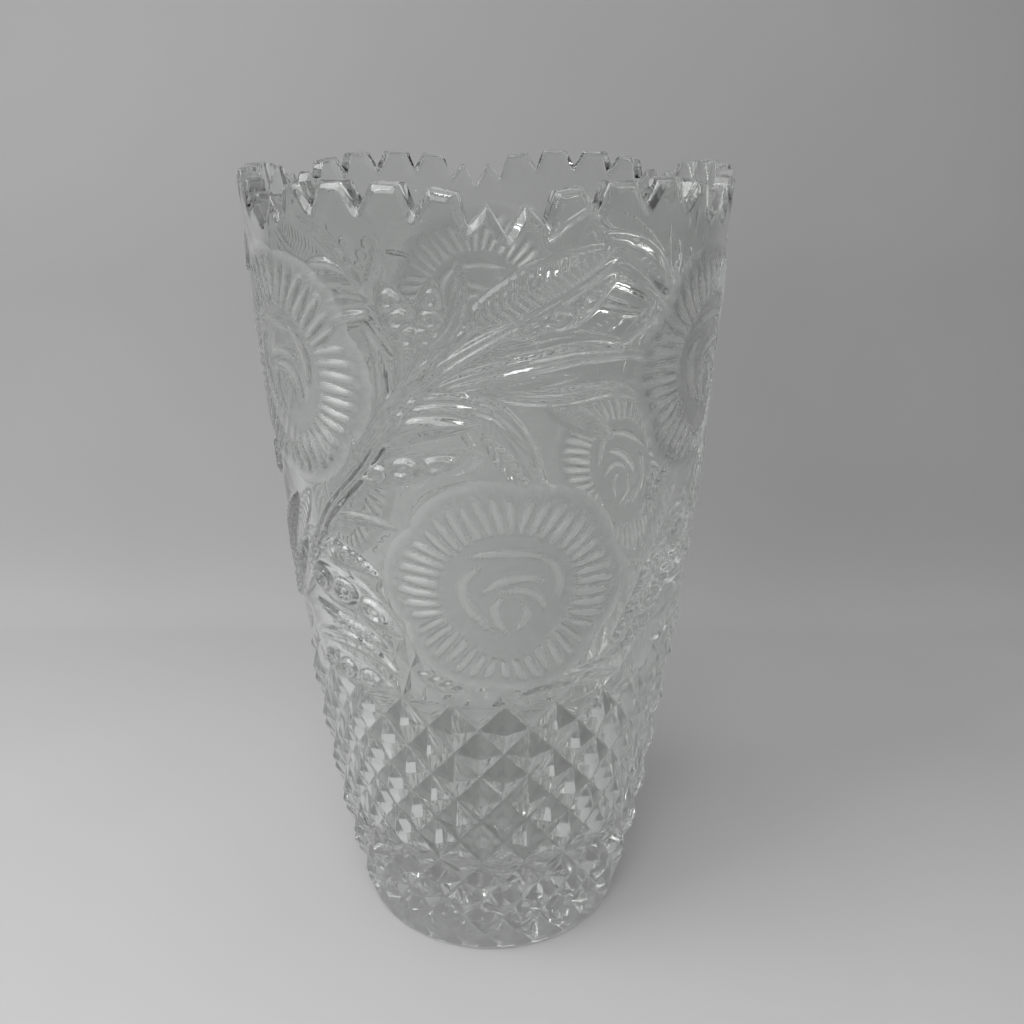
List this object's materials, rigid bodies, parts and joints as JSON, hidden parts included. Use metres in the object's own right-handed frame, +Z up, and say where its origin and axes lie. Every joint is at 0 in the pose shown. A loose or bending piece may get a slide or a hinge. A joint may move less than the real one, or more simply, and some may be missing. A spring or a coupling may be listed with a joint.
{
  "type": "cut crystal vase",
  "caption": "Tall flared crystal vase with a thick foot, a band of cut diamonds, frosted roses and leaf sprays raised on the wall, and a scalloped sawtooth rim.",
  "frame": {"origin": "centre of the resting face", "axes": "+Z up along the vase's axis to the mouth; -Y to the front, where a low rose and a low point of the rim face"},
  "size_m": [0.1424, 0.1416, 0.25],
  "materials": {
    "clear_crystal": "clear polished lead crystal",
    "frosted_crystal": "acid-frosted satin crystal, slightly bluish white"
  },
  "bodies": {
    "root": {"heavy_base": "clear_crystal", "diamond_band": "clear_crystal", "flower_wall": "clear_crystal", "sawtooth_rim": "clear_crystal", "rose_low_1": "frosted_crystal", "rose_high_1": "frosted_crystal", "leaf_spray_1": "clear_crystal", "rose_low_2": "frosted_crystal", "rose_high_2": "frosted_crystal", "leaf_spray_2": "clear_crystal", "rose_low_3": "frosted_crystal", "rose_high_3": "frosted_crystal", "leaf_spray_3": "clear_crystal"}
  },
  "joints": []
}
